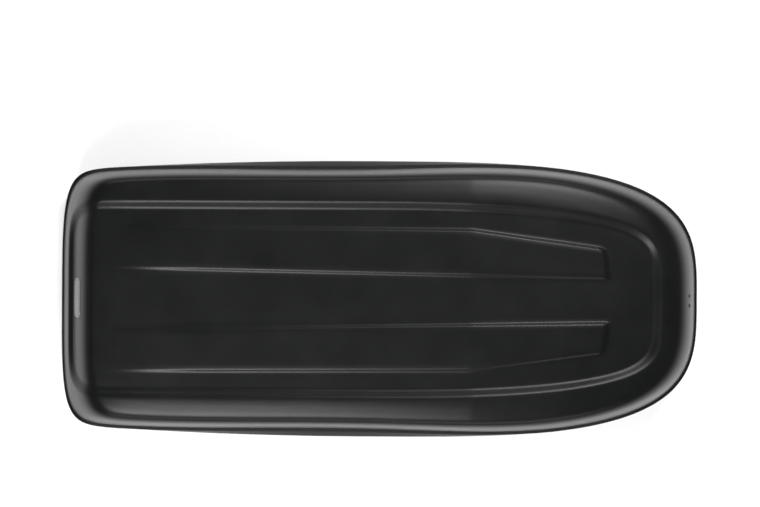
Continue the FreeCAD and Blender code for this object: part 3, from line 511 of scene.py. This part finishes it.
def build_badge():
    """A plain plate and its thin satin border, laid on the sunken rear face."""
    rows, columns = 12, 72
    for name, grow, proud, slot in (("badge_field", 0.0, 1.4, "badge"),
                                    ("badge_border", 1.6, 1.0, "lock_chrome")):
        half_x, half_y = 8.2 + grow, 58.0 + grow
        points, faces = [], []
        for r in range(rows + 1):
            for k in range(columns):
                angle = 2 * math.pi * k / columns
                c, d = math.cos(angle), math.sin(angle)
                share = (r / rows) ** 0.6
                u = half_x * math.copysign(abs(c) ** 0.5, c) * share
                v = half_y * math.copysign(abs(d) ** 0.22, d) * share
                points.append((-932.0 + u, v))
        plan = np.array(points)
        face_out = lid_surface(plan[:, 0], plan[:, 1], np.full(len(plan), RECESS - proud))
        for r in range(rows):
            faces.extend(loop_faces(r * columns, (r + 1) * columns, columns))
        face_out[:, 2] += PARTING
        plate = make_object(name, face_out, faces, "lid", slot)
        wall = plate.modifiers.new("thickness", "SOLIDIFY")
        wall.thickness, wall.offset = 1.2 * MM, -1
        if slot == "badge":
            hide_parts("badge_plate")


def build_knobs():
    """Star knobs, each with its ridged screw."""
    body_rings = [(20, 0, True), (24, 0.6, True), (25.6, 2.4, True), (25.9, 9, True),
                  (25.6, 16.5, True), (24.4, 19, True), (21.5, 20.2, True), (15.5, 20.6, False),
                  (14.4, 21.2, False), (13.8, 22.9, False), (12.6, 23.8, False),
                  (9, 24, False), (8.2, 23.3, False), (7.8, 22.4, False), (0.5, 22.2, False)]
    for long_word, sx in (("front", 1), ("rear", -1)):
        for side_word, sy in (("left", 1), ("right", -1)):
            label = long_word + "_" + side_word
            body = "clamp_knob_" + label
            base = FLOOR_TOP + 3.3
            centre = (sx * 380.0, sy * 280.0, base)
            knob = turned("star_knob_" + label, body_rings, body, "moulded_black", centre,
                          star_reach, 144)
            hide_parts("clamp_knob_" + label)
            threads = [(3.2, -17.3, False)]
            pitch = 1.25
            for k in range(13):
                z = -17.0 + k * pitch
                threads += [(3.45, z, False), (4.0, z + pitch / 2, False)]
            threads.append((3.9, 1, False))
            turned("clamp_screw_" + label, threads, body, "zinc_steel", centre, segments=32,
                   smooth_angle=20)


def build_lock_bezel():
    """The stepped and rounded ring that the lock cylinder turns in, along Y."""
    lock_x, lock_z, segments = -60.0, 115.0, 96
    profile = [(9.5, 389), (17, 389), (17, 402.6), (19.0, 403.0), (19.8, 403.8), (20.0, 405.2),
               (19.7, 406.8), (18.8, 408.0), (17.2, 408.7), (15.6, 408.8), (14.8, 408.2),
               (13.9, 408.2), (13.1, 408.8), (11.4, 408.6), (10.2, 408.0), (9.5, 406.8)]
    points, faces = [], []
    for radius, y in profile:
        for i in range(segments):
            angle = 2 * math.pi * i / segments
            points.append((lock_x + radius * math.cos(angle), y,
                           lock_z + radius * math.sin(angle)))
    for k in range(len(profile)):
        following = (k + 1) % len(profile)
        faces.extend(loop_faces(k * segments, following * segments, segments))
    bezel = make_object("lock_bezel", points, faces, "base", "lock_chrome")
    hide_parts("lock_housing")


def build_handle():
    """A bent grab handle that stands on the lid's frame."""
    low = 184.4
    bend = 13
    path = [(-288, 386, low)]
    path += [(-288, 386, low + h) for h in (6, 12, 18)]
    for i in range(9):
        t = math.pi / 2 * i / 8
        path.append((-288 + bend * (1 - math.cos(t)), 386, low + 32 - bend + bend * math.sin(t)))
    for i in range(1, 12):
        path.append((-288 + bend + i * (136 - 2 * bend) / 12, 386, low + 32))
    for i in range(9):
        t = math.pi / 2 * (1 - i / 8)
        path.append((-152 - bend * (1 - math.cos(t)), 386, low + 32 - bend + bend * math.sin(t)))
    path += [(-152, 386, low + h) for h in (18, 12, 6, 0)]
    handle = swept("grab_handle", path, 6.8, 6.6, 0.8, "lid", "moulded_black", (0, 1, 0), 28)
    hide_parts("lid_grab_handle")


def build_straps():
    """Woven straps over the floor rails, with the free tail doubled back beside the buckle."""
    half = 12.5
    for label, x in (("front", 200.0), ("rear", -260.0)):
        points, faces = [], []
        rows = [(y, FLOOR_TOP + 11.2 + 0.25 * math.sin(y / 37.0)) for y in range(-320, 321, 8)]
        tail = [(-30 - 6 * i, FLOOR_TOP + 13.1 + 0.5 * math.sin(i / 3.0)) for i in range(16)]
        for run in (rows, tail):
            start = len(points)
            columns = 9
            for y, z in run:
                for k in range(columns):
                    share = 2 * k / (columns - 1) - 1
                    points.append((x + half * share, y, z - 0.25 * share ** 4))
            for r in range(len(run) - 1):
                for k in range(columns - 1):
                    a = start + r * columns + k
                    faces.append((a, a + 1, a + columns + 1, a + columns))
        strap = make_object("luggage_webbing_" + label, points, faces, "base", "webbing")
        wall = strap.modifiers.new("weave", "SOLIDIFY")
        wall.thickness, wall.offset = 1.4 * MM, 0
        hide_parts("luggage_strap_" + label)
        stitches, sides = [], []
        for y0 in (-296.0, 284.0):
            for row_x in (-8.5, 8.5):
                for k in range(5):
                    a = len(stitches)
                    cx, cy, z = x + row_x, y0 + k * 3.2, FLOOR_TOP + 12.3
                    for dx, dy, dz in ((-.4, 0, 0), (.4, 0, 0), (.4, 2.2, 0), (-.4, 2.2, 0),
                                       (-.25, .3, .35), (.25, .3, .35), (.25, 1.9, .35),
                                       (-.25, 1.9, .35)):
                        stitches.append((cx + dx, cy + dy, z + dz))
                    sides += [tuple(a + i for i in f) for f in
                              ((0, 1, 2, 3), (4, 5, 6, 7), (0, 1, 5, 4), (1, 2, 6, 5),
                               (2, 3, 7, 6), (3, 0, 4, 7))]
        make_object("webbing_stitches_" + label, stitches, sides, "base", "webbing", THREAD)


# ------------------------------------------------------------------ build

THREAD = finish("strap_thread", (0.16, 0.16, 0.165), 0.7, grain=2600, bump=0.2, sheen=0.3)
build_lid()
build_badge()
build_knobs()
build_lock_bezel()
build_handle()
build_straps()

# ------------------------------------------------------------------ floor, light, camera


def pale_floor():
    """A wide plain sheet that the clamps stand on."""
    mesh = bpy.data.meshes.new("studio_floor")
    r = 14.0
    mesh.from_pydata([(-r, -r, 0), (r, -r, 0), (r, r, 0), (-r, r, 0)], [], [(0, 1, 2, 3)])
    floor = bpy.data.objects.new("studio_floor", mesh)
    bpy.context.scene.collection.objects.link(floor)
    mesh.materials.append(finish("floor_paper", (0.93, 0.93, 0.93), 0.9, grain=60, bump=0.02,
                                 spread=0.01, specular=0.1))


def softbox(name, place, aim, width, depth, power):
    """A rectangular area light aimed at a point, in metres and watts."""
    light = bpy.data.lights.new(name, "AREA")
    light.shape = "RECTANGLE"
    light.size, light.size_y = width, depth
    light.energy = power
    lamp = bpy.data.objects.new(name, light)
    bpy.context.scene.collection.objects.link(lamp)
    lamp.location = place
    lamp.rotation_euler = (Vector(aim) - Vector(place)).to_track_quat("-Z", "Y").to_euler()
    return lamp


def light_studio():
    """Two short softboxes light the rear from the right and the nose from the left."""
    world = bpy.data.worlds.new("studio")
    bpy.context.scene.world = world
    world.use_nodes = True
    world.node_tree.nodes["Background"].inputs["Color"].default_value = (1, 1, 1, 1)
    world.node_tree.nodes["Background"].inputs["Strength"].default_value = 0.26
    bpy.context.scene.view_settings.view_transform = "Standard"
    softbox("soft_right", (-0.95, -2.4, 4.4), (-0.6, 0, 0.3), 1.5, 1.6, 235)
    softbox("soft_left", (1.45, 2.4, 4.4), (0.8, 0, 0.3), 1.5, 1.6, 235)
    softbox("low_right", (0, -5.5, 2.4), (0, -0.8, 0), 6, 1, 135)
    softbox("low_left", (0, 5.5, 2.4), (0, 0.8, 0), 6, 1, 135)


def aim_camera():
    """Straight down from far above, as in a catalogue's plan view."""
    camera = bpy.data.cameras.new("camera")
    holder = bpy.data.objects.new("camera", camera)
    bpy.context.scene.collection.objects.link(holder)
    away = 12.0
    rim = 0.19
    width = 2.344
    camera.sensor_width = 36.0
    camera.lens = 36.0 * away / width
    camera.clip_end = 60
    holder.location = (0.0015, 0.140, rim + away)
    holder.rotation_euler = (0, 0, math.radians(0.3))
    bpy.context.scene.camera = holder


pale_floor()
light_studio()
aim_camera()
